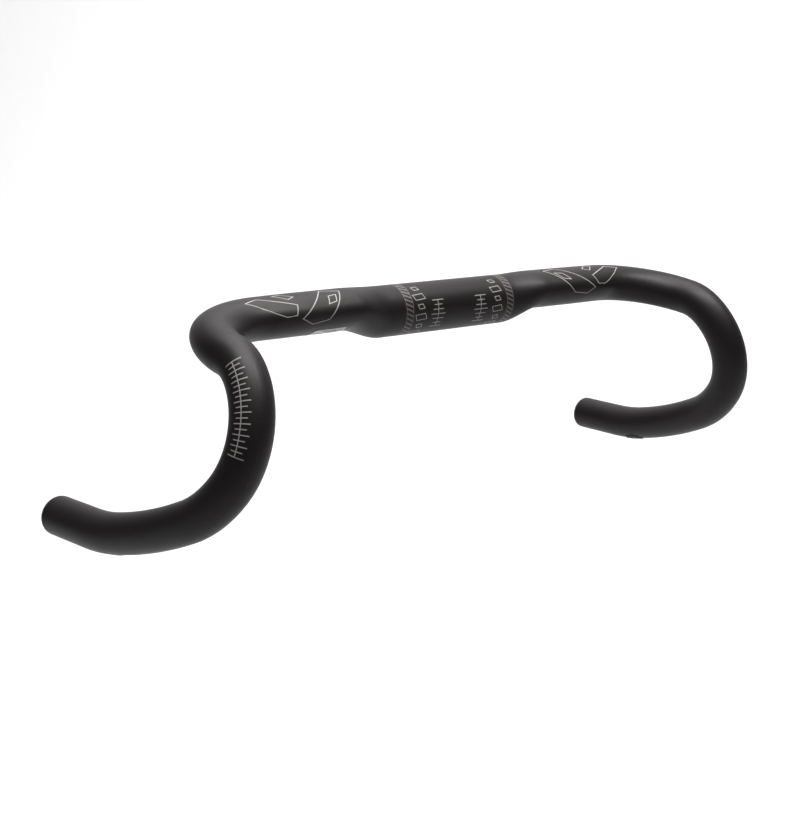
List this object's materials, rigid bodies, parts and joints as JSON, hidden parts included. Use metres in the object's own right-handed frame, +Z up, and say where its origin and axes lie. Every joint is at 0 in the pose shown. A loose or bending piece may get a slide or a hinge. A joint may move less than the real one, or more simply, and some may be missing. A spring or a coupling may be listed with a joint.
{
  "type": "drop handlebar",
  "caption": "Flared drop handlebar with flattened swept tops, round stem clamp, compact hooks, wire ports and expanding bar-end plugs.",
  "frame": {"origin": "centre of the stem clamp zone, on the clamp's axis", "axes": "+X along the clamp's axis to the rider's right, +Y forwards, +Z up, with the bar rolled so that the straight ends of the drops are level"},
  "size_m": [0.4798, 0.1716, 0.1414],
  "materials": {
    "carbon": "carbon fibre and epoxy under a satin clear coat",
    "bare_carbon": "bare moulded carbon fibre",
    "rubber": "matt moulded rubber",
    "plug_plastic": "moulded glass-filled nylon",
    "wedge_plastic": "moulded nylon",
    "screw_steel": "black oxide",
    "label_foil": "printed polyester foil"
  },
  "bodies": {
    "bar": {"centre_tube": "carbon", "lot_label": "label_foil", "right_drop_tube": "carbon", "right_joint_sleeve": "bare_carbon", "right_drop_port_grommet": "rubber", "right_tops_port_grommet": "rubber", "left_drop_tube": "carbon", "left_joint_sleeve": "bare_carbon", "left_drop_port_grommet": "rubber", "left_tops_port_grommet": "rubber"},
    "right_plug": {"right_plug_cap": "plug_plastic", "right_plug_collet": "plug_plastic", "right_plug_o_ring": "rubber"},
    "right_screw": {"right_plug_screw": "screw_steel"},
    "right_wedge": {"right_plug_wedge": "wedge_plastic"},
    "left_plug": {"left_plug_cap": "plug_plastic", "left_plug_collet": "plug_plastic", "left_plug_o_ring": "rubber"},
    "left_screw": {"left_plug_screw": "screw_steel"},
    "left_wedge": {"left_plug_wedge": "wedge_plastic"}
  },
  "joints": [
    {"name": "right_plug_pull", "type": "slide", "parent": "bar", "child": "right_plug", "axis": [0.0691, -0.9976, 0.0072], "range_m": [0, 0.035]},
    {"name": "right_screw_turn", "type": "hinge", "parent": "right_plug", "child": "right_screw", "pos_m": [0.22802, -0.07763, -0.11247], "axis": [0.0691, -0.9976, 0.0072], "range_deg": [0, 1440]},
    {"name": "right_wedge_slide", "type": "slide", "parent": "right_plug", "child": "right_wedge", "axis": [-0.0691, 0.9976, -0.0072], "range_m": [0, 0.0032]},
    {"name": "left_plug_pull", "type": "slide", "parent": "bar", "child": "left_plug", "axis": [-0.0691, -0.9976, 0.0072], "range_m": [0, 0.035]},
    {"name": "left_screw_turn", "type": "hinge", "parent": "left_plug", "child": "left_screw", "pos_m": [-0.22802, -0.07763, -0.11247], "axis": [-0.0691, -0.9976, 0.0072], "range_deg": [0, 1440]},
    {"name": "left_wedge_slide", "type": "slide", "parent": "left_plug", "child": "left_wedge", "axis": [0.0691, 0.9976, -0.0072], "range_m": [0, 0.0032]}
  ],
  "couplings": [
    {"joint": "right_screw_turn", "follows": "right_wedge_slide", "rad_per_m": 7854},
    {"joint": "left_screw_turn", "follows": "left_wedge_slide", "rad_per_m": 7854}
  ]
}
